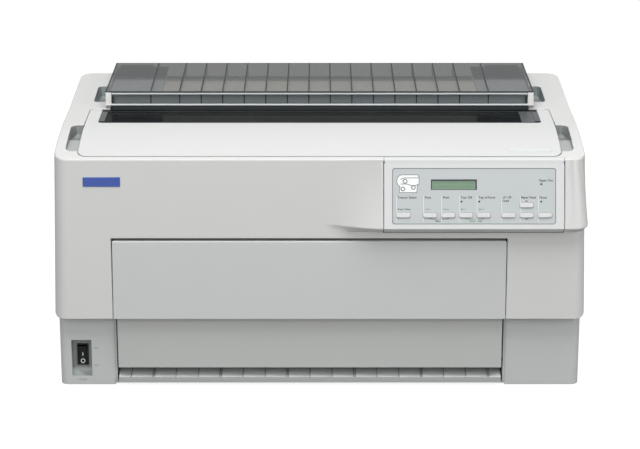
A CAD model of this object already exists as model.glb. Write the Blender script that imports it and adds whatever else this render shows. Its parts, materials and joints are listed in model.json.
"""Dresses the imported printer: mouldings, smoked covers, console, switch and mechanism."""

import json
import math

import bmesh
import bpy
from bpy.props import FloatProperty, FloatVectorProperty, IntProperty, PointerProperty
from mathutils import Matrix, Vector

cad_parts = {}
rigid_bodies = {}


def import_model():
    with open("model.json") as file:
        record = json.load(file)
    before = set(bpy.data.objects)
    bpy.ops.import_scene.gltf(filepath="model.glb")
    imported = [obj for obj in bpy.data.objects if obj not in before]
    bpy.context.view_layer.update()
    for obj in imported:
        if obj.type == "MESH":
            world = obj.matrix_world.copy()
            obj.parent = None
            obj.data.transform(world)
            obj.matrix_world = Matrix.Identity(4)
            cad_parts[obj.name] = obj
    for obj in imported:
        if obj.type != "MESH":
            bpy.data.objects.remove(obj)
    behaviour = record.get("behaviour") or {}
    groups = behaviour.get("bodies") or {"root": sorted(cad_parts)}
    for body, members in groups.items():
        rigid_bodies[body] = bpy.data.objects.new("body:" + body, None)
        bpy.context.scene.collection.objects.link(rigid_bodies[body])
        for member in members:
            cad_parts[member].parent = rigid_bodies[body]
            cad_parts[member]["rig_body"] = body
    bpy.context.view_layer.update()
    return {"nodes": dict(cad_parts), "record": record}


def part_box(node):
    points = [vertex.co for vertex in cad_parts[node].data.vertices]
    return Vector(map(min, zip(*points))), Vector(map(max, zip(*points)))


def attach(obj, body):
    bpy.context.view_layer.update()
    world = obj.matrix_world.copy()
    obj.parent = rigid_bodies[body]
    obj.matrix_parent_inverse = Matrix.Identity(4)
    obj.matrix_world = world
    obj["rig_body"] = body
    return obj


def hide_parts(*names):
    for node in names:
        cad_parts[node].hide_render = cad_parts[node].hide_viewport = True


bl_info = {
    "name": "Dot matrix printer",
    "version": (1, 0, 0),
    "blender": (4, 5, 0),
    "location": "View3D > Sidebar > Printer",
    "description": "Dresses a wide-carriage dot matrix printer around its CAD frame",
    "category": "Object",
}

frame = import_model()

MM = 0.001
SLOTS = {part["node"]: part["material_slot"] for part in frame["record"]["subparts"]}

# The console's own frame: X along the printer, Y into the panel, Z up its slope
CONSOLE_LIP = Vector((0, -191, 227)) * MM
CONSOLE_TILT = math.radians(16.6238)
CONSOLE = Matrix.Translation(CONSOLE_LIP) @ Matrix.Rotation(-CONSOLE_TILT, 4, "X")
# The base's front wall, and the rocker's pin and tilt at rest
BASE_FRONT_Y = -162.014 * MM
ROCKER_PIN = Vector((-316.4, -150.014, 41.6)) * MM
ROCKER_TILT = math.radians(7)
# The rear lid, as packed
LID_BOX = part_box("rear_lid")
LID_HALF = LID_BOX[1].x
LID_FRONT_Y = LID_BOX[0].y
LID_REAR_Y = LID_BOX[1].y
LID_FRONT_TOP = 359.6 * MM
# Front edge of the case's top
BROW_Y, BROW_Z = -165.114 * MM, 313.7 * MM
# In mm: the arc behind that edge, and the height and slope of the deck behind the arc
ARC_Y, ARC_Z, ARC_R = -36.41, -82.41, 416.5
ARC_END_Y, DECK_Z, DECK_SLOPE = -45.13, 334.0, 0.020947
# Centres of the case's rounded corners, and how far from them its outer faces begin
CORNER_X, CORNER_FRONT_Y, CORNER_REAR_Y = 327 * MM, -147 * MM, 173 * MM
CORNER_REACH = 15 * MM
# Where its sides and its back begin
OUTER_X, OUTER_REAR_Y = 340 * MM, 188 * MM
# Centre and radius in mm of the rounded front corners of the hood
HOOD_CORNER_R = 12.4
HOOD_CORNER = Vector((302.8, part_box("hood")[0].y / MM + 12))
# In mm: the pockets beside the hood and beside the rear lid, as spans of X and Y
FRONT_POCKET = ((315, 332), (-146, -61))
REAR_POCKET = ((294.5, 314.5), (51, 125.5))
# The recess of the power switch, as spans of X, Y and Z
SWITCH_RECESS = ((-331 * MM, -303 * MM), (BASE_FRONT_Y + 0.3 * MM, -150 * MM), (12 * MM, 64.5 * MM))
# Height above which pockets and joints of the case's top are looked for
UPPER_Z = 300 * MM
# Front cover opening: its top and its sides
COVER_TOP = 208.5 * MM
COVER_X = (-272.3 * MM, 245.3 * MM)
# What lies in front of these places along Y is on the front of the case, or of its cover
FACE_Y, COVER_FACE_Y = -160 * MM, -165 * MM
# Sides of the console and of the blend beside it, where they meet the brow
BLEND_X = (60 * MM, 318 * MM)
# In mm: the sides of the console, and the outline of its film on the console's own frame
CONSOLE_X = (83.5, 317)
FILM_LEFT, FILM_RIGHT, FILM_LOW, FILM_HIGH = 94.5, 305.6, 6.9, 78.7
# In mm, on that frame: the display's lower left and upper right corners, and its glass's depth
DISPLAY_LOW, DISPLAY_HIGH = (144.1, 50.9), (203.7, 64.6)
DISPLAY_DEPTH = 1.62
# Angle in degrees from which an edge is rounded or stays sharp
CREASE = 38
# Height of a capital letter as a share of the type's size
CAPITAL_SHARE = 0.72
# In mm: how thick prints and drawn lines stand, and the height of the lines beside the keys
INK_DEPTH, LINE_DEPTH = 0.16, 0.2
COLUMN_LOW, COLUMN_HIGH = 9.4, 43
# The camera: focal length in mm, sideways shift as a share of the sensor, and place in metres
CAMERA_LENS, CAMERA_SHIFT = 118.125, 0.000625
CAMERA_PLACE = (0, -2.7893, 1.0279)


def arc_height(y):
    """Height of the case's top in mm at a place along Y in mm."""
    if y < ARC_END_Y:
        return ARC_Z + math.sqrt(ARC_R ** 2 - (y - ARC_Y) ** 2)
    return DECK_Z + (y - ARC_END_Y) * DECK_SLOPE


def deck_height(y):
    """Height of the case's top in metres."""
    return arc_height(y / MM) * MM


def inside(span, value):
    """Whether a value lies between two limits."""
    return span[0] < value < span[1]


def linear(code):
    """An sRGB hex colour as linear RGBA."""
    parts = [int(code[i:i + 2], 16) / 255 for i in (1, 3, 5)]
    return [p / 12.92 if p <= 0.04045 else ((p + 0.055) / 1.055) ** 2.4 for p in parts] + [1.0]


def colour(name, text, code):
    """A colour property whose default is an sRGB hex value."""
    return FloatVectorProperty(name=name, description=text, subtype="COLOR", size=3,
                               min=0, max=1, default=linear(code)[:3])


def length(name, text, default, low, high):
    """A length property. Its values are given in millimetres."""
    return FloatProperty(name=name, description=text, default=default * MM, min=low * MM,
                         max=high * MM, unit="LENGTH")


def power(name, text, watts):
    """The power of a lamp as a property."""
    return FloatProperty(name=name, description=text, default=watts, min=0, max=300, unit="POWER")


class PrinterCasing(bpy.types.PropertyGroup):
    """Colours and edges of the mouldings."""

    case_colour: colour("Case", "Colour of the upper case", "#cfd0ce")
    hood_colour: colour("Hood", "Colour of the hood's white band", "#cecfce")
    cover_colour: colour("Front cover", "Colour of the drop-down cover", "#c6c8c7")
    skirt_colour: colour("Skirt", "Colour of the cover's lower skirt", "#bfc1bf")
    base_colour: colour("Base", "Colour of the base", "#c5c8c6")
    guide_colour: colour("Paper guides", "Colour of the ribbed paper guides", "#aeb1af")
    brow_radius: length("Brow radius", "Rounding of the case's top edge", 2.2, 1, 8)
    opening_radius: length("Opening radius", "Rounding of the front cover's opening", 1.3, 0.3, 2)
    edge_radius: length("Edge radius", "Rounding of the covers' edges", 0.7, 0.2, 1.5)


class PrinterClearCovers(bpy.types.PropertyGroup):
    """The smoked hood window and rear lid."""

    smoke_colour: colour("Smoke", "Tint of the smoked acrylic", "#3d4346")
    top_colour: colour("Lid top", "Colour of the lid's top as a surface", "#636567")
    clarity: FloatProperty(name="Clarity", description="Grey of what comes through one surface",
                           default=0.94, min=0.1, max=1, subtype="FACTOR")
    rib_count: IntProperty(name="Ribs", description="Closely spaced ribs under the lid",
                           default=14, min=2, max=20)
    rib_pitch: length("Rib pitch", "Distance between two ribs", 29.6, 20, 40)


class PrinterConsole(bpy.types.PropertyGroup):
    """The printed overlay, the display and the keys."""

    frame_colour: colour("Frame", "Colour of the console's frame", "#d1d2d2")
    film_colour: colour("Film", "Colour of the printed overlay", "#bbc0c1")
    ink_colour: colour("Ink", "Colour of the printed words", "#3c4345")
    screen_colour: colour("Display", "Colour of the display", "#7d9881")
    key_colour: colour("Keys", "Colour of the key caps", "#d4d5d4")
    cell_columns: IntProperty(name="Columns", description="Characters in a row of the display",
                              default=20, min=8, max=40)
    word_height: length("Word height", "Height of the printed words", 2.9, 1.5, 4)


class PrinterStage(bpy.types.PropertyGroup):
    """Floor, light and camera."""

    floor_colour: colour("Floor", "Colour of the floor", "#929292")
    floor_lift: FloatProperty(name="Floor lift", description="Light added to the floor as seen",
                              default=0.88, min=0, max=1)
    daylight: FloatProperty(name="Room light", description="Strength of the even room light",
                            default=0.32, min=0, max=2)
    front_power: power("Front softbox", "Power of the softbox in front", 30)
    side_power: power("Side softbox", "Power of the softbox at the right", 24)
    top_power: power("Top softbox", "Power of the softbox above", 66)
    pitch: FloatProperty(name="Camera pitch", description="How far the camera looks down",
                         default=math.radians(17), subtype="ANGLE")


# Materials

def add(tree, kind, values=None, links=None, **settings):
    """Adds a node with its settings, its input values and its links."""
    made = tree.nodes.new(kind)
    for name, value in settings.items():
        setattr(made, name, value)
    for name, value in (values or {}).items():
        made.inputs[name].default_value = value
    for name, source in (links or {}).items():
        tree.links.new(source, made.inputs[name])
    return made


def empty_material(name):
    """A new material and its node tree, with nothing in it."""
    material = bpy.data.materials.new(name)
    material.use_nodes = True
    material.node_tree.nodes.clear()
    return material, material.node_tree


def per_metre(size_mm):
    """Noise scale that gives features of a size in millimetres."""
    return 1 / (size_mm * MM)


def shade(rgb, factor):
    """A colour made darker or lighter, as RGBA."""
    return [min(1, c * factor) for c in list(rgb)[:3]] + [1.0]


def finish(name, rgb, roughness, grain, depth, metallic=0.0, ior=1.5, spread=0.03):
    """A solid finish: cloudy colour over centimetres, and grain of a size and depth in mm."""
    material, tree = empty_material(name)
    place = add(tree, "ShaderNodeTexCoord")
    cloud = add(tree, "ShaderNodeTexNoise", {"Scale": per_metre(45), "Detail": 3.0},
                {"Vector": place.outputs["Object"]})
    grit = add(tree, "ShaderNodeTexNoise", {"Scale": per_metre(grain), "Detail": 4.0,
               "Roughness": 0.6}, {"Vector": place.outputs["Object"]})
    tone = add(tree, "ShaderNodeMix", {"A": shade(rgb, 1 - spread), "B": shade(rgb, 1 + spread)},
               {"Factor": cloud.outputs["Fac"]}, data_type="RGBA")
    speck = add(tree, "ShaderNodeMix", {"B": shade(rgb, 1 - 2.5 * spread)},
                {"A": tone.outputs["Result"]}, data_type="RGBA")
    spots = add(tree, "ShaderNodeMapRange", {"From Min": 0.62, "From Max": 0.8, "To Max": 0.5},
                {"Value": grit.outputs["Fac"]})
    tree.links.new(spots.outputs["Result"], speck.inputs["Factor"])
    shine = add(tree, "ShaderNodeMapRange", {"To Min": roughness - 0.06,
                "To Max": roughness + 0.08}, {"Value": grit.outputs["Fac"]})
    bump = add(tree, "ShaderNodeBump", {"Strength": 0.6, "Distance": depth * MM},
               {"Height": grit.outputs["Fac"]})
    body = add(tree, "ShaderNodeBsdfPrincipled", {"Metallic": metallic},
               {"Base Color": speck.outputs["Result"], "Roughness": shine.outputs["Result"],
                "Normal": bump.outputs["Normal"]})
    if not metallic:
        body.inputs["IOR"].default_value = ior
    add(tree, "ShaderNodeOutputMaterial", links={"Surface": body.outputs["BSDF"]})
    return material


def smoked(name, rgb, clarity, surface, roughness, ior, deep=None):
    """Smoked acrylic: it lets a tint of what is behind it through, and the rest is dark gloss.

    surface is the share of each face that is seen as a surface, and clarity the grey of what
    comes through. deep holds the place along Y in mm past which clarity falls to a lower grey.
    """
    material, tree = empty_material(name)
    place = add(tree, "ShaderNodeTexCoord")
    cloud = add(tree, "ShaderNodeTexNoise", {"Scale": per_metre(60), "Detail": 2.0},
                {"Vector": place.outputs["Object"]})
    tone = add(tree, "ShaderNodeMix", {"A": shade(rgb, 0.9), "B": shade(rgb, 1.1)},
               {"Factor": cloud.outputs["Fac"]}, data_type="RGBA")
    dust = add(tree, "ShaderNodeTexNoise", {"Scale": per_metre(1.5), "Detail": 3.0},
               {"Vector": place.outputs["Object"]})
    shine = add(tree, "ShaderNodeMapRange", {"To Min": roughness, "To Max": roughness + 0.08},
                {"Value": dust.outputs["Fac"]})
    body = add(tree, "ShaderNodeBsdfPrincipled", {"IOR": ior},
               {"Base Color": tone.outputs["Result"], "Roughness": shine.outputs["Result"]})
    clear = add(tree, "ShaderNodeBsdfTransparent", {"Color": [clarity] * 3 + [1.0]})
    if deep:
        start, lower = deep
        split = add(tree, "ShaderNodeSeparateXYZ", links={"Vector": place.outputs["Object"]})
        fall = add(tree, "ShaderNodeMapRange", {"From Min": start * MM,
                   "From Max": (start + 6) * MM, "To Min": clarity, "To Max": lower},
                   {"Value": split.outputs["Y"]})
        tree.links.new(fall.outputs["Result"], clear.inputs["Color"])
    both = add(tree, "ShaderNodeMixShader", {0: surface}, {1: clear.outputs["BSDF"],
               2: body.outputs["BSDF"]})
    add(tree, "ShaderNodeOutputMaterial", links={"Surface": both.outputs["Shader"]})
    return material


def board_material(name, rgb, track):
    """Glass-epoxy board: green lacquer over copper tracks that show as lighter lines."""
    material, tree = empty_material(name)
    place = add(tree, "ShaderNodeTexCoord")
    tracks = add(tree, "ShaderNodeTexBrick", {"Scale": per_metre(9), "Mortar Size": 0.06,
                 "Color1": shade(rgb, 0.85), "Color2": shade(rgb, 1.1), "Mortar": list(track)},
                 {"Vector": place.outputs["Object"]})
    bump = add(tree, "ShaderNodeBump", {"Strength": 0.4, "Distance": 0.05 * MM},
               {"Height": tracks.outputs["Fac"]})
    body = add(tree, "ShaderNodeBsdfPrincipled", {"Roughness": 0.35, "IOR": 1.55},
               {"Base Color": tracks.outputs["Color"], "Normal": bump.outputs["Normal"]})
    add(tree, "ShaderNodeOutputMaterial", links={"Surface": body.outputs["BSDF"]})
    return material


MATERIALS = {}


def solid_finishes():
    """Finishes of everything but the clear covers and the board.

    A row holds a name, a colour, roughness, grain size and depth in mm, metallic, IOR and the
    spread of the colour.
    """
    scene = bpy.context.scene
    casing, console = scene.printer_casing, scene.printer_console
    # ABS from a spark-eroded tool: a dense, even satin grain of about 0.4 mm, drawn at 0.9 mm
    # so that it shows
    for key, tint in (("case", casing.case_colour), ("hood", casing.hood_colour),
                      ("cover", casing.cover_colour), ("skirt", casing.skirt_colour),
                      ("base", casing.base_colour), ("guide", casing.guide_colour),
                      ("console", console.frame_colour)):
        MATERIALS[key] = finish("ABS_spark_textured_" + key, tint, 0.5, 0.9, 0.06, ior=1.54,
                                spread=0.012)
    table = {
        # Smooth ABS caps: brighter and glossier than the case
        "key": ("ABS_smooth_key", console.key_colour, 0.34, 2.0, 0.01, 0.0, 1.54, 0.02),
        "cap": ("ABS_white_end_cap", "#e4e4e2", 0.3, 2.0, 0.01, 0.0, 1.54, 0.02),
        # Polyester film, matt on its face: very fine even grain
        "film": ("Polyester_film_matt", console.film_colour, 0.42, 0.7, 0.01, 0.0, 1.6, 0.01),
        # Screen-printed ink: thin, matt, slightly uneven. The thin lines are a weaker mix than
        # the words, and the pale rules let the film through
        "ink": ("Screen_ink_dark", console.ink_colour, 0.6, 0.6, 0.01, 0.0, 1.5, 0.08),
        "line_ink": ("Screen_ink_dark_line", "#5f6566", 0.6, 0.6, 0.01, 0.0, 1.5, 0.06),
        "grey_ink": ("Screen_ink_grey", "#8b9293", 0.6, 0.6, 0.01, 0.0, 1.5, 0.06),
        "green_ink": ("Screen_ink_green", "#4f8a66", 0.6, 0.6, 0.01, 0.0, 1.5, 0.06),
        "pale_ink": ("Screen_ink_white", "#eef0ef", 0.55, 0.6, 0.01, 0.0, 1.5, 0.03),
        "rule_ink": ("Screen_ink_pale_rule", "#d9dddd", 0.55, 0.6, 0.01, 0.0, 1.5, 0.03),
        # Liquid crystal behind a polariser: flat grey green, glossy, its cells a little darker
        "screen": ("Liquid_crystal_glass", console.screen_colour, 0.2, 3.0, 0.005, 0.0, 1.52, 0.03),
        "cell": ("Liquid_crystal_cell", shade(console.screen_colour, 0.86), 0.25, 3.0, 0.005,
                 0.0, 1.52, 0.02),
        # Letters raised on the base, whose edges catch a shade
        "emboss": ("ABS_raised_letters", "#979b99", 0.5, 0.9, 0.02, 0.0, 1.54, 0.02),
        # Walls and floors of the case's recesses, greyer because little light reaches them
        "pocket": ("ABS_pocket_wall", "#8e9392", 0.5, 0.9, 0.05, 0.0, 1.54, 0.02),
        "rear_pocket": ("ABS_rear_pocket", "#92999a", 0.5, 0.9, 0.05, 0.0, 1.54, 0.02),
        "switch_pocket": ("ABS_switch_pocket", "#8f9594", 0.45, 0.9, 0.04, 0.0, 1.54, 0.02),
        # Sloping floor of the front pockets, lighter toward the open side
        "ramp": ("ABS_pocket_ramp", "#a9adab", 0.5, 0.9, 0.05, 0.0, 1.54, 0.02),
        # Walls of the narrow joint round the hood, which read as a grey line
        "gap": ("ABS_joint_wall", "#74787a", 0.6, 0.9, 0.05, 0.0, 1.54, 0.02),
        # Paper guide: its slope is polished by the paper, its ribs show their shaded sides
        "slope": ("ABS_guide_slope", "#d2d5d3", 0.5, 0.9, 0.04, 0.0, 1.54, 0.02),
        "guide_rib": ("ABS_guide_rib", "#8b8f8d", 0.5, 0.9, 0.04, 0.0, 1.54, 0.02),
        # Black ABS frame round the display, greyed by the film over it
        "bezel": ("ABS_black_bezel", "#3d4446", 0.4, 1.0, 0.02, 0.0, 1.54, 0.05),
        # Light emitting diodes, unlit: dull olive resin
        "lamp": ("Epoxy_lamp_unlit", "#4c5550", 0.25, 1.0, 0.01, 0.0, 1.55, 0.05),
        # Black polycarbonate of the switch: deep black with a soft gloss, its rocker deeper
        "black": ("Polycarbonate_black", "#141617", 0.32, 1.2, 0.02, 0.0, 1.58, 0.08),
        "gloss_black": ("Polycarbonate_gloss_black", "#0b0c0b", 0.3, 1.2, 0.01, 0.0, 1.5, 0.05),
        "white_mark": ("Pad_print_white", "#e9ebea", 0.5, 0.8, 0.01, 0.0, 1.5, 0.03),
        # Anodised aluminium badge: dyed blue, satin, faintly brushed along its length
        "badge": ("Aluminium_anodised_blue", "#4a60ae", 0.4, 0.5, 0.01, 0.35, 1.5, 0.05),
        "plate": ("Aluminium_anodised_pale", "#d6d9d9", 0.36, 0.5, 0.01, 0.2, 1.5, 0.02),
        # Zinc-plated steel sheet: grey with a mottled bloom
        "zinc": ("Steel_zinc_plated", "#b4b8bb", 0.4, 6.0, 0.02, 0.9, 1.5, 0.1),
        # Ground and hardened steel: bright with fine lines
        "ground": ("Steel_ground", "#c8cbcd", 0.22, 0.4, 0.005, 1.0, 1.5, 0.04),
        "screw": ("Steel_screw_zinc", "#9b9fa2", 0.35, 1.0, 0.02, 0.9, 1.5, 0.08),
        "brass": ("Brass_turned", "#c9a95c", 0.3, 0.6, 0.01, 1.0, 1.5, 0.06),
        # Acetal and nylon: waxy, creamy white
        "nylon": ("Nylon_moulded", "#d9d3c0", 0.45, 1.5, 0.02, 0.0, 1.53, 0.04),
        # Ground rubber: dull black with a fine nap
        "rubber": ("Rubber_ground_black", "#2e3133", 0.75, 0.8, 0.05, 0.0, 1.52, 0.1),
        # Blued steel pins, dark and satin
        "blued": ("Steel_blued", "#383c3e", 0.5, 1.4, 0.03, 0.5, 1.5, 0.08),
        # Cast zinc of the print head and carriage, dark
        "casting": ("Zinc_cast_dark", "#4b4e50", 0.5, 1.6, 0.06, 0.6, 1.5, 0.1),
        # Motor cans in black lacquer
        "motor_can": ("Steel_can_lacquered", "#2b2e30", 0.38, 1.4, 0.03, 0.3, 1.5, 0.08),
        # Moulded polystyrene: the plain dull parts of the mechanism
        "moulding": ("Polystyrene_dark_moulding", "#393e41", 0.45, 1.0, 0.04, 0.0, 1.55, 0.06),
        "flap": ("Polystyrene_grey_moulding", "#5a6064", 0.45, 1.0, 0.04, 0.0, 1.55, 0.05),
        "blue": ("Polystyrene_blue_knob", "#1f5f8a", 0.4, 1.0, 0.03, 0.0, 1.55, 0.05),
        # Steel sheet with a cream stoved paint: even and satin
        "beige": ("Steel_painted_beige", "#d4d0c4", 0.5, 1.2, 0.03, 0.0, 1.5, 0.03),
        # Galvanised sheet of the power supply: grey with a coarse spangle
        "galvanised": ("Steel_galvanised", "#a4a8aa", 0.42, 9.0, 0.01, 0.85, 1.5, 0.14),
        # Edges of acrylic seen end on: nearly black, because the light passes along them
        "rib": ("Acrylic_seen_edge_on", "#2f3536", 0.6, 2.0, 0.005, 0.0, 1.3, 0.04),
        # Polished acrylic edges that gather the room light, the lower one lit from the front
        "rim": ("Acrylic_rim_bright", "#d6dadb", 0.3, 3.0, 0.005, 0.0, 1.45, 0.03),
        "low_rim": ("Acrylic_rim_lit_from_front", "#eef1f1", 0.3, 3.0, 0.005, 0.0, 1.45, 0.02),
        # Sheets under the lid's top: cream polyester in the middle, frosted acrylic beside it
        "sheet": ("Polyester_paper_sheet", "#eeebdd", 0.5, 2.0, 0.01, 0.0, 1.5, 0.02),
        "frost": ("Acrylic_frosted_sheet", "#c0c7c9", 0.5, 2.0, 0.01, 0.0, 1.45, 0.02),
        # Rubber lip that closes the lid's lower edge: dull dark grey
        "seal": ("Rubber_lip_grey", "#3c4244", 0.6, 2.0, 0.01, 0.0, 1.4, 0.05),
        # Acrylic backed by grey: its step, its bonded borders, and the stop under it
        "step": ("Acrylic_step_grey", "#434849", 0.4, 2.0, 0.005, 0.0, 1.4, 0.05),
        "border": ("Acrylic_bonded_border", "#454b4d", 0.4, 2.0, 0.005, 0.0, 1.4, 0.05),
        "stop": ("Acrylic_over_grey_stop", "#484c4e", 0.4, 2.0, 0.005, 0.0, 1.4, 0.05),
    }
    for key, (name, tint, *values) in table.items():
        MATERIALS[key] = finish(name, linear(tint) if isinstance(tint, str) else tint, *values)
    MATERIALS["board"] = board_material("Glass_epoxy_board", linear("#2f6443"), linear("#5d8f63"))


# Shapes

def linked(name, data):
    """A new object in the scene."""
    made = bpy.data.objects.new(name, data)
    bpy.context.scene.collection.objects.link(made)
    return made


def taken(shape, name):
    """A mesh of a finished bmesh, which is freed."""
    mesh = bpy.data.meshes.new(name)
    shape.to_mesh(mesh)
    shape.free()
    return mesh


def final_mesh(holder):
    """The evaluated mesh of an object, which is removed."""
    bpy.context.view_layer.update()
    graph = bpy.context.evaluated_depsgraph_get()
    mesh = bpy.data.meshes.new_from_object(holder.evaluated_get(graph))
    bpy.data.objects.remove(holder)
    return mesh


def new_piece(name, mesh, body, material):
    """Makes a finished mesh a piece that rides on a body."""
    piece = linked(name, mesh)
    if mesh.materials:
        mesh.materials.clear()
    mesh.materials.append(MATERIALS[material])
    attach(piece, body)
    return piece


def dressed(node, material, edge=0.5 * MM, radius_at=None, zones=()):
    """A merged copy of a CAD node with rounded edges, which stands for the node.

    radius_at gives the radius at a place, and zones holds (material, test of a face) for faces
    that have a finish of their own.
    """
    source = frame["nodes"][node]
    shape = bmesh.new()
    shape.from_mesh(source.data)
    bmesh.ops.remove_doubles(shape, verts=shape.verts, dist=0.002 * MM)
    bmesh.ops.dissolve_limit(shape, angle_limit=math.radians(0.05), verts=shape.verts,
                             edges=shape.edges)
    weights = shape.edges.layers.float.new("bevel_weight_edge")
    radii = {}
    for line in shape.edges:
        if len(line.link_faces) != 2:
            continue
        angle = math.degrees(line.calc_face_angle(0))
        radius = 0
        if angle > CREASE and line.is_convex:
            radius = edge
            if radius_at:
                radius = radius_at((line.verts[0].co + line.verts[1].co) / 2)
        line.smooth = angle < CREASE or radius > 0
        radii[line] = radius
    widest = max(radii.values(), default=0)
    for line, radius in radii.items():
        line[weights] = radius / widest if widest else 0
    for face in shape.faces:
        face.smooth = True
        for index, (_, holds) in enumerate(zones, 1):
            if holds(face):
                face.material_index = index
    mesh = taken(shape, node + "_form")
    piece = new_piece(node + "_dressed", mesh, source["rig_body"], material)
    for extra, _ in zones:
        mesh.materials.append(MATERIALS[extra])
    if widest:
        bevel = piece.modifiers.new("Rounded edges", "BEVEL")
        bevel.limit_method = "WEIGHT"
        bevel.width = widest
        bevel.segments = 3
        bevel.use_clamp_overlap = False
        bevel.loop_slide = False
        bevel.miter_outer = "MITER_SHARP"
    normals = piece.modifiers.new("Flat faces", "WEIGHTED_NORMAL")
    normals.keep_sharp = True
    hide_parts(node)
    return piece


def painted(node, material):
    """Gives a CAD node that keeps its own shape a better material."""
    source = frame["nodes"][node]
    source.data.materials.clear()
    source.data.materials.append(MATERIALS[material])


def thickened(outlines, near, far, name):
    """A mesh of flat outlines drawn from one place to another, each given as a function."""
    shape = bmesh.new()
    for outline in outlines:
        ends = [[shape.verts.new(place(*point)) for point in outline] for place in (near, far)]
        shape.faces.new(ends[0])
        shape.faces.new(ends[1][::-1])
        for i in range(len(outline)):
            j = (i + 1) % len(outline)
            shape.faces.new((ends[0][j], ends[0][i], ends[1][i], ends[1][j]))
    bmesh.ops.recalc_face_normals(shape, faces=shape.faces)
    return taken(shape, name)


def prism(outlines, depth):
    """A mesh of outlines in X and Z, thickened along -Y. Everything is in millimetres."""
    return thickened(outlines, lambda x, z: (x * MM, -depth * MM, z * MM),
                     lambda x, z: (x * MM, 0, z * MM), "print")


def swept(points, x0, x1):
    """A mesh of an outline in Y and Z, drawn along X. Everything is in millimetres."""
    return thickened([points], lambda y, z: (x0 * MM, y * MM, z * MM),
                     lambda y, z: (x1 * MM, y * MM, z * MM), "swept")


def block(low, high):
    """A box's mesh between two corners in millimetres."""
    shape = bmesh.new()
    bmesh.ops.create_cube(shape, size=1)
    middle = (Vector(low) + Vector(high)) / 2
    size = Vector(high) - Vector(low)
    for corner in shape.verts:
        corner.co = (middle + Vector(a * b for a, b in zip(corner.co, size))) * MM
    return taken(shape, "block")


def bar(x0, z0, x1, z1):
    return [(x0, z0), (x1, z0), (x1, z1), (x0, z1)]


def disc(x, z, radius, count=20):
    return [(x + radius * math.cos(a), z + radius * math.sin(a))
            for a in (2 * math.pi * i / count for i in range(count))]


def ring(x, z, outer, inner, count=20):
    """A ring as one outline for each of its segments."""
    rims = [disc(x, z, r, count) for r in (outer, inner)]
    return [[rims[0][i], rims[0][(i + 1) % count], rims[1][(i + 1) % count], rims[1][i]]
            for i in range(count)]


def stroke(points, width):
    """A line of a width through points, as one outline for each stretch."""
    outlines = []
    for a, b in zip(points, points[1:]):
        run = Vector(b) - Vector(a)
        side = Vector((-run.y, run.x)).normalized() * width / 2
        ahead = run.normalized() * width / 2
        a2, b2 = Vector(a) - ahead, Vector(b) + ahead
        outlines.append([tuple(a2 + side), tuple(a2 - side), tuple(b2 - side), tuple(b2 + side)])
    return outlines


def words(lines):
    """A mesh of short words. lines holds (text, x, z, height) in mm, from the baseline."""
    shape = bmesh.new()
    depth = 0.12 * MM
    upright = Matrix.Rotation(math.pi / 2, 4, "X")
    for text, *place in lines:
        x, z, height = (value * MM for value in place)
        curve = bpy.data.curves.new("word", "FONT")
        curve.body = text
        curve.size = height / CAPITAL_SHARE
        curve.extrude = depth / 2
        curve.resolution_u = 3
        curve.offset = height * 0.035
        curve.space_character = 1.04
        flat = final_mesh(linked("word", curve))
        flat.transform(Matrix.Translation((x, -depth / 2, z)) @ upright)
        shape.from_mesh(flat)
        bpy.data.meshes.remove(flat)
        bpy.data.curves.remove(curve)
    return taken(shape, "words")


def copies_tree():
    """Geometry nodes that set a shape out in columns along X and rows along Z."""
    tree = bpy.data.node_groups.new("Copies in columns and rows", "GeometryNodeTree")
    face = tree.interface
    face.new_socket("Geometry", in_out="INPUT", socket_type="NodeSocketGeometry")
    for name, kind in (("Columns", "NodeSocketInt"), ("Rows", "NodeSocketInt"),
                       ("First", "NodeSocketVector"), ("Column step", "NodeSocketFloat"),
                       ("Row step", "NodeSocketFloat"), ("Material", "NodeSocketMaterial")):
        face.new_socket(name, in_out="INPUT", socket_type=kind)
    face.new_socket("Geometry", in_out="OUTPUT", socket_type="NodeSocketGeometry")
    given = add(tree, "NodeGroupInput").outputs
    across = add(tree, "ShaderNodeCombineXYZ", links={"X": given["Column step"]})
    upward = add(tree, "ShaderNodeCombineXYZ", links={"Z": given["Row step"]})
    columns = add(tree, "GeometryNodeMeshLine", links={"Count": given["Columns"],
                  "Start Location": given["First"], "Offset": across.outputs["Vector"]})
    rows = add(tree, "GeometryNodeMeshLine", links={"Count": given["Rows"],
               "Offset": upward.outputs["Vector"]})
    one_row = add(tree, "GeometryNodeInstanceOnPoints", links={
        "Points": columns.outputs["Mesh"], "Instance": given["Geometry"]})
    all_rows = add(tree, "GeometryNodeInstanceOnPoints", links={
        "Points": rows.outputs["Mesh"], "Instance": one_row.outputs["Instances"]})
    real = add(tree, "GeometryNodeRealizeInstances", links={
        "Geometry": all_rows.outputs["Instances"]})
    coated = add(tree, "GeometryNodeSetMaterial", links={
        "Geometry": real.outputs["Geometry"], "Material": given["Material"]})
    add(tree, "NodeGroupOutput", links={"Geometry": coated.outputs["Geometry"]})
    return tree


def copies(name, shape, body, material, columns, rows=1, first=(0, 0, 0), step=0.0, rise=0.0,
           place=None):
    """A piece of a shape set out in columns and rows by geometry nodes, then placed."""
    tree = bpy.data.node_groups.get("Copies in columns and rows") or copies_tree()
    holder = linked(name + "_pattern", shape)
    pattern = holder.modifiers.new("Copies", "NODES")
    pattern.node_group = tree
    named = {"Columns": columns, "Rows": rows, "First": first, "Column step": step,
             "Row step": rise, "Material": MATERIALS[material]}
    for socket in tree.interface.items_tree:
        if socket.in_out == "INPUT" and socket.name in named:
            pattern[socket.identifier] = named[socket.name]
    mesh = final_mesh(holder)
    if place:
        mesh.transform(place)
    return new_piece(name, mesh, body, material)


def joined(meshes):
    """One mesh of several, in order."""
    shape = bmesh.new()
    for mesh in meshes:
        shape.from_mesh(mesh)
    return taken(shape, "joined")


# Piece groups

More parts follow.
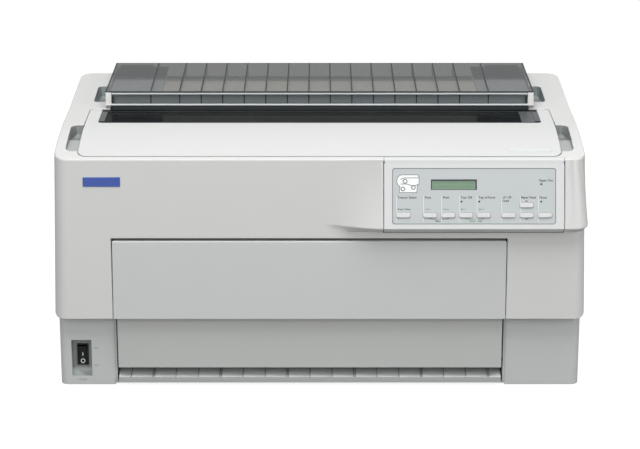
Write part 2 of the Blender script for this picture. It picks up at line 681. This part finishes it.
class PRINTER_OT_casing(bpy.types.Operator):
    """Rounds and finishes the case, hood, base, covers and paper guides"""

    bl_idname = "printer.casing"
    bl_label = "Casing"

    def execute(self, context):
        props = context.scene.printer_casing

        def case_radius(middle):
            across, along, height = abs(middle.x), middle.y, middle.z
            at_front = along < BROW_Y + 3 * MM
            past_corner = Vector((across - CORNER_X,
                                  max(CORNER_FRONT_Y - along, along - CORNER_REAR_Y)))
            outer = (across > OUTER_X or at_front or along > OUTER_REAR_Y
                     or (min(past_corner) > 0 and past_corner.length > CORNER_REACH))
            if outer and height > BROW_Z - 1 * MM and not (at_front and inside(BLEND_X, middle.x)):
                return props.brow_radius
            past_opening = [abs(height - COVER_TOP), *(abs(middle.x - x) for x in COVER_X)]
            if (along < FACE_Y and height < COVER_TOP + 1 * MM and min(past_opening) < 0.6 * MM):
                return props.opening_radius
            return props.edge_radius

        def in_pocket(face, pocket):
            middle = face.calc_center_median()
            return (inside(pocket[0], abs(middle.x) / MM) and inside(pocket[1], middle.y / MM)
                    and middle.z > UPPER_Z
                    and (face.normal.z < 0.9 or middle.z < deck_height(middle.y) - 3 * MM))

        def front_pocket(face):
            return in_pocket(face, FRONT_POCKET)

        def rear_pocket(face):
            return in_pocket(face, REAR_POCKET)

        def pocket_ramp(face):
            return front_pocket(face) and face.normal.z > 0.6 and abs(face.normal.y) > 0.05

        def hood_joint(face):
            middle = face.calc_center_median() / MM
            if abs(face.normal.z) > 0.3 or middle.z < UPPER_Z / MM or middle.y > 0:
                return False
            past = Vector((max(0, abs(middle.x) - HOOD_CORNER.x), max(0, HOOD_CORNER.y - middle.y)))
            return abs(past.length - HOOD_CORNER_R) < 0.9

        dressed("upper_case", "case", props.edge_radius, radius_at=case_radius,
                zones=(("pocket", front_pocket), ("ramp", pocket_ramp),
                       ("rear_pocket", rear_pocket), ("gap", hood_joint)))
        dressed("hood", "hood", 0.4 * MM, zones=(("gap", hood_joint),))

        def switch_pocket(face):
            return all(map(inside, SWITCH_RECESS, face.calc_center_median()))

        dressed("base_tray", "base", props.edge_radius, zones=(("switch_pocket", switch_pocket),))

        def cover_radius(middle):
            top = middle.z > COVER_TOP - 4.2 * MM and middle.y < COVER_FACE_Y
            return props.opening_radius * 1.3 if top else props.edge_radius

        dressed("front_cover", "cover", props.edge_radius, radius_at=cover_radius)
        dressed("front_cover_skirt", "skirt", props.edge_radius)

        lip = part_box("front_paper_guide")[0].y / MM

        def guide_slope(face):
            return face.normal.z > 0.5 and face.calc_center_median().z > 12 * MM

        def guide_rib(face):
            middle = face.calc_center_median() / MM
            along = middle.y - lip
            # The slope's height between the ribs, which is less steep past its first 15 mm
            slope = min(13 + along * 0.2, 13.9 + along * 0.14)
            edge = 12 < middle.z < 13.2 and abs(face.normal.z + face.normal.y) < 0.1
            end = face.normal.y < -0.5 and 12.4 < middle.z < 14.8
            return (face.normal.z > 0.5 and middle.z > 0.8 + slope) or edge or end

        dressed("front_paper_guide", "guide", 0.3 * MM,
                zones=(("slope", guide_slope), ("guide_rib", guide_rib)))
        # Linings of the posts beside the skirt
        linings = [block((x0, -161.2, 4), (x1, -146, 99.5)) for x0, x1 in
                   ((-272.7, -270.2), (244.4, 247.2))]
        new_piece("post_linings", joined(linings), "chassis", "base")
        dressed("rear_paper_guide", "guide", 0.3 * MM)
        dressed("rubber_feet", "rubber", 0.5 * MM)
        return {"FINISHED"}


class PRINTER_OT_clear_covers(bpy.types.Operator):
    """Makes the smoked window and lid, with the lid's ribs, rims and end caps"""

    bl_idname = "printer.clear_covers"
    bl_label = "Clear covers"

    def execute(self, context):
        props = context.scene.printer_clear_covers
        tint, clarity = props.smoke_colour, props.clarity
        # Smoked acrylic: grey tint with a gloss, darker toward its rear where it is doubled
        MATERIALS["lid"] = smoked("Acrylic_smoked_lid", tint, clarity, 0.22, 0.12, 1.45,
                                  deep=(100, clarity * 0.5))
        # The lid's front strip is frosted at its back, which makes it greyer
        MATERIALS["strip"] = smoked("Acrylic_frosted_strip", linear("#767d7f"), 0.2, 0.85, 0.3, 1.4)
        # The same acrylic over the dark mechanism, tinted far deeper
        MATERIALS["window"] = smoked("Acrylic_smoked_window", shade(tint, 0.7), clarity * 0.55,
                                     0.22, 0.1, 1.3)
        # The lid's top is the same acrylic over ribs that scatter the light, so less comes through
        MATERIALS["lid_top"] = smoked("Acrylic_smoked_lid_top", props.top_colour, clarity, 0.46,
                                      0.16, 1.45, deep=(100, clarity * 0.35))

        def lid_top(face):
            return face.normal.z > 0.9 and face.calc_center_median().z > LID_FRONT_TOP - 2 * MM

        dressed("rear_lid", "lid", 0.3 * MM, zones=(("lid_top", lid_top),))
        dressed("hood_window", "window", 0.4 * MM)
        dressed("lid_end_caps", "cap", 0.8 * MM)

        self.lid_pieces(props)
        self.window_pieces()
        return {"FINISHED"}

    def lid_pieces(self, props):
        """The bands along the lid's front edge, the sheets under its top, and its ribs"""
        body, slot = "rear_lid_door", "smoked_acrylic"
        top, front, back = LID_FRONT_TOP / MM, LID_FRONT_Y / MM, LID_REAR_Y / MM - 1.5
        half = LID_HALF / MM
        reach = half - 8.5

        # Bands: name, half length, from and to along Y from the front edge, from and to in height
        # from the top, material
        for name, across, y0, y1, z0, z1, material in (
                ("lid_front_edge", half, -0.1, 2.6, -1.5, 0.1, "rib"),
                ("lid_upper_rim", reach, -0.2, 0.6, -3.7, -1.6, "rim"),
                ("lid_lower_rim", half, -0.8, 0.6, -19.0, -17.1, "low_rim"),
                ("lid_strip", reach, 3.5, 4.4, -17.3, -3.1, "strip"),
                ("lid_lip", reach, 4.4, 5.8, -26.6, -19.6, "seal")):
            new_piece(name, block((-across, front + y0, top + z0), (across, front + y1, top + z1)),
                      body, material)

        rise = math.tan(math.radians(1.2))
        climb = rise * (back - front)

        def sloped(y0, y1, upper, lower, rise_between):
            """An outline between two levels from the lid's top, which rises toward the rear"""
            return [(y0, top + upper), (y0, top + lower), (y1, top + lower + rise_between),
                    (y1, top + upper + rise_between)]

        # Sheet that the printed paper slides out over, and the frosted sheets beside it
        shelf_y, shelf_depth, shelf_half = front + 22, 90, 217.5
        shelf = sloped(shelf_y, shelf_y + shelf_depth, -6, -6.8, shelf_depth * rise)
        new_piece("lid_paper_sheet", swept(shelf, -shelf_half, shelf_half), body, "sheet")
        sheet = sloped(front + 8, back - 4, -4.5, -5.3, climb)
        near, far = shelf_half + 0.2, half - 5
        new_piece("lid_end_sheets", joined((swept(sheet, -far, -near), swept(sheet, near, far))),
                  body, "frost")
        edge = sloped(front, back + 1, 0.12, -1.5, climb)
        near = half - 1.7
        new_piece("lid_side_edges", joined((swept(edge, -half, -near), swept(edge, near, half))),
                  body, "rib")
        # Dark ends of the strip beside the caps
        new_piece("strip_ends", joined([block((x, front + 0.2, top - 16.5),
                  (x + 2.4, front + 3.4, top - 7.5)) for x in (-reach, reach - 2.4)]),
                  body, "rib")

        # Ribs: the dark line of each under the top, and its end in the front strip
        line = swept(sloped(front + 1, back, 0.12, -1.5, climb), -0.8, 0.8)
        end = block((-0.8, front + 3.2, top - 17.4), (0.8, front + 4.6, top - 3))
        one = joined((line, end))
        step = props.rib_pitch
        last = (props.rib_count - 1) / 2
        outer = (props.rib_count / 2 + 0.84) * step
        copies("lid_ribs", one, body, "rib", props.rib_count, first=(-last * step, 0, 0),
               step=step)
        copies("lid_outer_ribs", one, body, "rib", 2, first=(-outer, 0, 0), step=2 * outer)

    def window_pieces(self):
        """The step, the bonded borders, the front edge and the stop that show in the window"""
        body, slot = "hood_door", "smoked_acrylic"
        # Line of the step across the window
        step_y = 5.2
        new_piece("window_step_line", block((-291, step_y, arc_height(step_y) - 0.4),
                  (291, step_y + 0.9, arc_height(step_y) + 0.15)), body, "step")

        def band(x0, x1, y0, y1):
            run = [y0 + (y1 - y0) * i / 6 for i in range(7)]
            return swept([(y, arc_height(y) + 0.1) for y in run]
                         + [(y, arc_height(y) - 0.5) for y in run[::-1]], x0, x1)

        borders = band(-297.4, -290, -44, 5), band(290, 297.4, -44, 5)
        new_piece("window_borders", joined(borders), body, "border")
        new_piece("window_edge", band(-292, 292, -51.4, -49.6), body, "rib")
        new_piece("window_stop", band(272, 289.6, -49.8, 4.6), body, "stop")


def function_words(props):
    """The console's words: generic functions only. Places are in mm on the console."""
    tall, small = props.word_height / MM, props.word_height / MM * 0.8
    upper = 39.9
    columns = [(101.0, "Tractor Select"), (136.4, "Font"), (159.6, "Pitch"), (182.7, "Tear Off"),
               (205.6, "Top of Form"), (236.9, "LF / FF"), (260.9, "Paper Feed"), (284.6, "Pause")]
    dark = [(text, x, upper, tall) for x, text in columns]
    dark += [("Front / Rear", 101.0, 24.9, small), ("Load", 236.9, 35.7, tall),
             ("Paper Out", 284.2, 62.0, tall), ("Menu", 150.2, 9.6, small)]
    grey = [("Item", 137.2, 24.9, small), ("Value", 159.9, 24.9, small),
            ("Bin 1", 183.0, 24.9, small), ("Bin 2", 206.0, 24.9, small)]
    green = [("Quiet Mode", 194.0, 9.6, small)]
    return dark, grey, green


class PRINTER_OT_console(bpy.types.Operator):
    """Makes the console: frame, film, printed words, display, lamps and keys"""

    bl_idname = "printer.console"
    bl_label = "Console"

    def execute(self, context):
        props = context.scene.printer_console
        dressed("console_frame", "console", 0.5 * MM)
        dressed("console_overlay", "film", 0.15 * MM)
        dressed("lcd_module", "screen", 0.15 * MM)
        dressed("status_leds", "lamp", 0.2 * MM)
        for node in SLOTS:
            if node.endswith("_key"):
                dressed(node, "key", 0.8 * MM)
        painted("panel_board", "board")

        film = CONSOLE @ Matrix.Translation((0, 0.14 * MM, 0))

        def printed(name, print_mesh, ink):
            print_mesh.transform(film)
            new_piece(name, print_mesh, "chassis", ink)

        # Dark outline of the film, with its corners rounded by short strokes
        cut = 2.2
        left, right, low, high = FILM_LEFT, FILM_RIGHT, FILM_LOW, FILM_HIGH
        outline = [(left + cut, high), (right - cut, high), (right, high - cut), (right, low + cut),
                   (right - cut, low), (left + cut, low), (left, low + cut), (left, high - cut),
                   (left + cut, high)]
        printed("film_outline", prism(stroke(outline, 0.8), LINE_DEPTH), "line_ink")
        # Pale line down the left of each column of keys, with a thin shade beside it
        edges = (99.6, 134.3, 157.6, 180.7, 203.7, 235.7, 259.5, 283.0)
        for name, x0, x1, ink in (("column_lines", -0.55, 0.55, "rule_ink"),
                                  ("column_shades", -0.85, -0.55, "grey_ink")):
            bars = [bar(x + x0, COLUMN_LOW, x + x1, COLUMN_HIGH) for x in edges]
            printed(name, prism(bars, INK_DEPTH), ink)

        dark, grey, green = function_words(props)
        for name, entries, ink in (("function_words", dark, "ink"),
                                   ("menu_words", grey, "grey_ink"),
                                   ("mode_words", green, "green_ink")):
            printed(name, words(entries), ink)

        # Arrows of the feed keys, and brackets that join two keys each
        feed = 268.0
        arrows = [[(feed - 1.7, 35.9), (feed + 1.7, 35.9), (feed, 37.9)],
                  [(feed - 1.7, 14.0), (feed, 12.0), (feed + 1.7, 14.0)]]
        printed("feed_arrows", prism(arrows, INK_DEPTH), "ink")
        for name, a, b, ink in (("menu_bracket", 143.1, 166.4, "ink"),
                                ("mode_bracket", 189.5, 212.5, "green_ink")):
            bracket = [*stroke([(a, 14.2), (a + 2.2, 13.0), (b - 2.2, 13.0), (b, 14.2)], 0.4),
                       disc(a, 14.2, 0.8, 12), disc(b, 14.2, 0.8, 12)]
            printed(name, prism(bracket, INK_DEPTH), ink)
        self.pictogram(printed)
        self.display(props)
        self.brow_cover()
        return {"FINISHED"}

    def pictogram(self, printed):
        """A generic side view of a printer with two paper paths over rollers"""
        x, z = 99.2, 47.6
        body = [(4, 0), (26.5, 0), (27.6, 10), (29.6, 11), (29.6, 19.5), (27.5, 23), (6.5, 23),
                (2.2, 20.5), (0.6, 15.5), (1.8, 10.5), (4.6, 8)]
        body = [(x + a, z + b) for a, b in body]
        printed("pictogram_body", prism([body], 0.12), "pale_ink")
        upper_path = [(x + 6, z + 17), (x + 10, z + 19), (x + 29, z + 19)]
        lower_path = [(x + 6, z + 11), (x + 14, z + 11), (x + 22, z + 8.4), (x + 29, z + 10.4)]
        lines = [*stroke([*body, body[0]], 0.7), *stroke(upper_path, 0.8), *stroke(lower_path, 0.8),
                 *ring(x + 11.4, z + 14.6, 3.1, 2.0), *ring(x + 8.6, z + 4.6, 3.0, 1.9),
                 *ring(x + 22.2, z + 6.6, 3.0, 1.9)]
        printed("pictogram_lines", prism(lines, LINE_DEPTH), "line_ink")

    def display(self, props):
        """The display's dark bezel and its two rows of character cells"""
        glass = CONSOLE @ Matrix.Translation((0, DISPLAY_DEPTH * MM, 0))
        (left, low), (right, high) = DISPLAY_LOW, DISPLAY_HIGH
        inner_left, inner_right = left + 1.5, right - 1.8
        bezel = prism([bar(left, low, inner_left, high), bar(inner_right, low, right, high),
                       bar(inner_left, high - 1.7, inner_right, high),
                       bar(inner_left, low, inner_right, low + 0.8)], 0.8)
        bezel.transform(glass)
        new_piece("display_bezel", bezel, "chassis", "bezel")
        # Cells between margins of 3.5 mm, each filling 82 % of its step
        margin = 3.5
        step = (right - left - 2 * margin) / props.cell_columns
        cell = prism([bar(-step * 0.41, 0, step * 0.41, 3.9)], 0.06)
        copies("display_cells", cell, "chassis", "cell", props.cell_columns, 2,
               first=((left + margin + step / 2) * MM, 0, (low + 2.4) * MM), step=step * MM,
               rise=4.9 * MM, place=glass)

    def brow_cover(self):
        """The frame's turned-over upper edge, which lies on the brow of the case"""
        skin = 0.35
        front_y, front_z = BROW_Y / MM, BROW_Z / MM
        foot_y, foot_z = (front_y - 3.2 * math.sin(CONSOLE_TILT),
                          front_z - 3.2 * math.cos(CONSOLE_TILT))
        # From the foot on the console's slope, over the brow, to the rear edge on the case's top
        turn_y, rear_y = front_y + 1.4, front_y + 4.2
        outer = [(foot_y - skin, foot_z + 0.1), (front_y - 0.1 - skin, front_z - 0.5),
                 (front_y + 0.25, front_z + 0.45)]
        outer += [(y, arc_height(y) + skin) for y in (turn_y, front_y + 2.6, rear_y)]
        inner = [(rear_y, arc_height(rear_y) - 0.5), (front_y + 1.5, front_z - 0.4),
                 (foot_y + 1, foot_z)]
        left, right = CONSOLE_X
        brow = swept(outer + inner, left + 0.4, right - 0.4)
        new_piece("console_brow", brow, "chassis", "console")
        # Shade in the joint round it: behind it, and down each side
        seam_y = rear_y + 0.9
        behind = [(rear_y, arc_height(rear_y) + 0.3), (seam_y, arc_height(seam_y) + 0.12),
                  (seam_y, arc_height(seam_y) - 0.5), (rear_y, arc_height(rear_y) - 0.5)]
        beside = [(foot_y - 0.1, foot_z), (front_y - 0.3, front_z - 0.6),
                  (turn_y, front_z + 1), (seam_y, arc_height(seam_y) + 0.12),
                  (seam_y, arc_height(rear_y) - 1), (front_y + 2, front_z - 1),
                  (foot_y + 1.5, foot_z)]
        seam = [swept(behind, left - 0.5, right + 0.5)]
        seam += [swept(beside, x - 0.35, x + 0.35) for x in (left - 0.1, right + 0.1)]
        new_piece("console_seam", joined(seam), "chassis", "grey_ink")


class PRINTER_OT_switch(bpy.types.Operator):
    """Finishes the power switch and marks it"""

    bl_idname = "printer.switch"
    bl_label = "Power switch"

    def execute(self, context):
        dressed("power_switch_housing", "black", 0.4 * MM)
        dressed("power_rocker", "gloss_black", 0.5 * MM)

        # Marks on the rocker's faces, which lean outwards from its waist: a bar whose lower part
        # bends over the waist in two halves, and a ring. Each has an outline, a place and a lean
        tilted = Matrix.Translation(ROCKER_PIN) @ Matrix.Rotation(ROCKER_TILT, 4, "X")
        lean, waist_lean = math.atan2(1.4, 10.4), math.atan2(0.4, 2)
        marks = []
        for outlines, y, z, angle in (
                ([bar(-0.6, -1.2, 0.6, 0)], -5.55, 0, -waist_lean),
                ([bar(-0.6, 0, 0.6, 2.0)], -5.55, 0, waist_lean),
                ([bar(-0.6, 0, 0.6, 1.6)], -5.95, 2, lean),
                (ring(0, -6.7, 3.1, 2.1, 24), -5.95, -2, -lean)):
            mark = prism(outlines, 0.15)
            mark.transform(tilted @ Matrix.Translation(Vector((0, y, z)) * MM)
                           @ Matrix.Rotation(angle, 4, "X"))
            marks.append(mark)
        new_piece("rocker_marks", joined(marks), "rocker", "white_mark")

        labels = words([("ON", -301.0, 51.8, 2.5), ("OFF", -301.0, 27.0, 2.5),
                        ("POWER", -322.5, 6.8, 2.3)])
        labels.transform(Matrix.Translation((0, BASE_FRONT_Y + 0.05 * MM, 0)))
        new_piece("switch_words", labels, "chassis", "emboss")
        return {"FINISHED"}


class PRINTER_OT_plates(bpy.types.Operator):
    """Finishes the bare badge and nameplate"""

    bl_idname = "printer.plates"
    bl_label = "Plates"

    def execute(self, context):
        dressed("badge_plate", "badge", 0.25 * MM)
        dressed("hood_nameplate", "plate", 0.2 * MM)
        return {"FINISHED"}


class PRINTER_OT_mechanism(bpy.types.Operator):
    """Gives the parts of the mechanism and electronics their materials"""

    bl_idname = "printer.mechanism"
    bl_label = "Mechanism"

    def execute(self, context):
        sides = [(end, side) for end in ("front", "rear") for side in ("left", "right")]
        finishes = {
            "zinc": ["mechanism_frame"],
            "ground": ["guide_shafts", "front_tractor_shaft", "rear_tractor_shaft"],
            "screw": ["frame_screws"],
            "blued": ["hinge_pins"],
            "rubber": ["platen_roller", "carriage_belt"],
            "nylon": ["platen_gear", "idler_pulley"],
            "brass": ["drive_pulley", "feed_pinion"],
            "casting": ["carriage", "print_head"],
            "moulding": ["ribbon_cartridge", "fan_rotor", *(f"{a}_tractor_{b}" for a, b in sides)],
            "flap": [f"{a}_flap_{b}" for a, b in sides],
            "blue": ["ribbon_knob"],
            "motor_can": ["carriage_motor", "feed_motor"],
            "beige": ["exit_paper_guide"],
            "board": ["main_board"],
            "galvanised": ["power_supply"],
            "black": ["rear_connectors"],
        }
        for material, nodes in finishes.items():
            for node in nodes:
                painted(node, material)
        return {"FINISHED"}


class PRINTER_OT_stage(bpy.types.Operator):
    """Lays the floor and sets the lights and the camera"""

    bl_idname = "printer.stage"
    bl_label = "Stage"

    def execute(self, context):
        props = context.scene.printer_stage
        scene = context.scene
        scene.view_settings.view_transform = "Standard"

        # Pale painted floor: a white lift for the camera only, so that it keeps the shadow
        material, tree = empty_material("Painted_floor")
        place = add(tree, "ShaderNodeTexCoord")
        cloud = add(tree, "ShaderNodeTexNoise", {"Scale": per_metre(400)},
                    {"Vector": place.outputs["Object"]})
        tone = add(tree, "ShaderNodeMix", {"A": shade(props.floor_colour, 0.98),
                   "B": shade(props.floor_colour, 1.0)}, {"Factor": cloud.outputs["Fac"]},
                   data_type="RGBA")
        matt = add(tree, "ShaderNodeBsdfDiffuse", links={"Color": tone.outputs["Result"]})
        seen = add(tree, "ShaderNodeLightPath")
        lift = add(tree, "ShaderNodeMath", {1: props.floor_lift},
                   {0: seen.outputs["Is Camera Ray"]}, operation="MULTIPLY")
        glow = add(tree, "ShaderNodeEmission", links={"Strength": lift.outputs["Value"]})
        both = add(tree, "ShaderNodeAddShader", links={0: matt.outputs["BSDF"],
                   1: glow.outputs["Emission"]})
        add(tree, "ShaderNodeOutputMaterial", links={"Surface": both.outputs["Shader"]})
        reach = 6.0
        mesh = bpy.data.meshes.new("floor")
        mesh.from_pydata([(-reach, -reach, 0), (reach, -reach, 0), (reach, reach, 0),
                          (-reach, reach, 0)], [], [(0, 1, 2, 3)])
        mesh.materials.append(material)
        linked("floor", mesh)

        world = bpy.data.worlds.new("Studio")
        scene.world = world
        world.use_nodes = True
        tree = world.node_tree
        tree.nodes.clear()
        seen = add(tree, "ShaderNodeLightPath")
        mirrored = add(tree, "ShaderNodeMath", links={0: seen.outputs["Is Camera Ray"],
                       1: seen.outputs["Is Glossy Ray"]}, operation="MAXIMUM")
        through = add(tree, "ShaderNodeMath", links={0: mirrored.outputs["Value"],
                      1: seen.outputs["Is Transmission Ray"]}, operation="MAXIMUM")
        level = add(tree, "ShaderNodeMapRange", {"To Min": props.daylight, "To Max": 1.0},
                    {"Value": through.outputs["Value"]})
        sky = add(tree, "ShaderNodeBackground", links={"Strength": level.outputs["Result"]})
        add(tree, "ShaderNodeOutputWorld", links={"Surface": sky.outputs["Background"]})

        # Name, place and size in metres, and power
        for name, spot, size, watts in (
                ("Front_softbox", (-1.6, -2.7, 1.45), (2.2, 1.6), props.front_power),
                ("Side_softbox", (2.3, -1.8, 1.2), (1.6, 1.6), props.side_power),
                ("Top_softbox", (0.0, -0.9, 2.7), (2.6, 1.8), props.top_power)):
            lamp = bpy.data.lights.new(name, "AREA")
            lamp.shape = "RECTANGLE"
            lamp.size, lamp.size_y = size
            lamp.energy = watts
            holder = linked(name, lamp)
            holder.location = spot
            aim = Vector((0, 0, 0.15)) - holder.location
            holder.rotation_euler = aim.to_track_quat("-Z", "Y").to_euler()

        lens = bpy.data.cameras.new("Camera")
        lens.lens = CAMERA_LENS
        lens.sensor_width = 36
        lens.shift_x = CAMERA_SHIFT
        lens.clip_end = 50
        camera = linked("Camera", lens)
        camera.location = CAMERA_PLACE
        camera.rotation_euler = (math.pi / 2 - props.pitch, 0, 0)
        scene.camera = camera
        return {"FINISHED"}


class PRINTER_PT_panel(bpy.types.Panel):
    """Lists the printer's piece groups and their settings"""

    bl_label = "Dot matrix printer"
    bl_idname = "PRINTER_PT_panel"
    bl_space_type = "VIEW_3D"
    bl_region_type = "UI"
    bl_category = "Printer"

    def draw(self, context):
        for group in GROUPS:
            props = getattr(context.scene, group)
            for name in props.bl_rna.properties.keys():
                if name not in ("rna_type", "name"):
                    self.layout.prop(props, name)
        for operator in OPERATORS:
            self.layout.operator(operator.bl_idname)


GROUPS = {
    "printer_casing": PrinterCasing,
    "printer_clear_covers": PrinterClearCovers,
    "printer_console": PrinterConsole,
    "printer_stage": PrinterStage,
}
OPERATORS = (PRINTER_OT_casing, PRINTER_OT_clear_covers, PRINTER_OT_console, PRINTER_OT_switch,
             PRINTER_OT_plates, PRINTER_OT_mechanism, PRINTER_OT_stage)


def register():
    for kind in (*GROUPS.values(), *OPERATORS, PRINTER_PT_panel):
        bpy.utils.register_class(kind)
    for name, kind in GROUPS.items():
        setattr(bpy.types.Scene, name, PointerProperty(type=kind))


def unregister():
    for name in GROUPS:
        delattr(bpy.types.Scene, name)
    for kind in (PRINTER_PT_panel, *OPERATORS[::-1], *GROUPS.values()):
        bpy.utils.unregister_class(kind)


def main():
    register()
    solid_finishes()
    for operator in OPERATORS:
        group, name = operator.bl_idname.split(".")
        getattr(getattr(bpy.ops, group), name)()


if __name__ == "__main__":
    main()
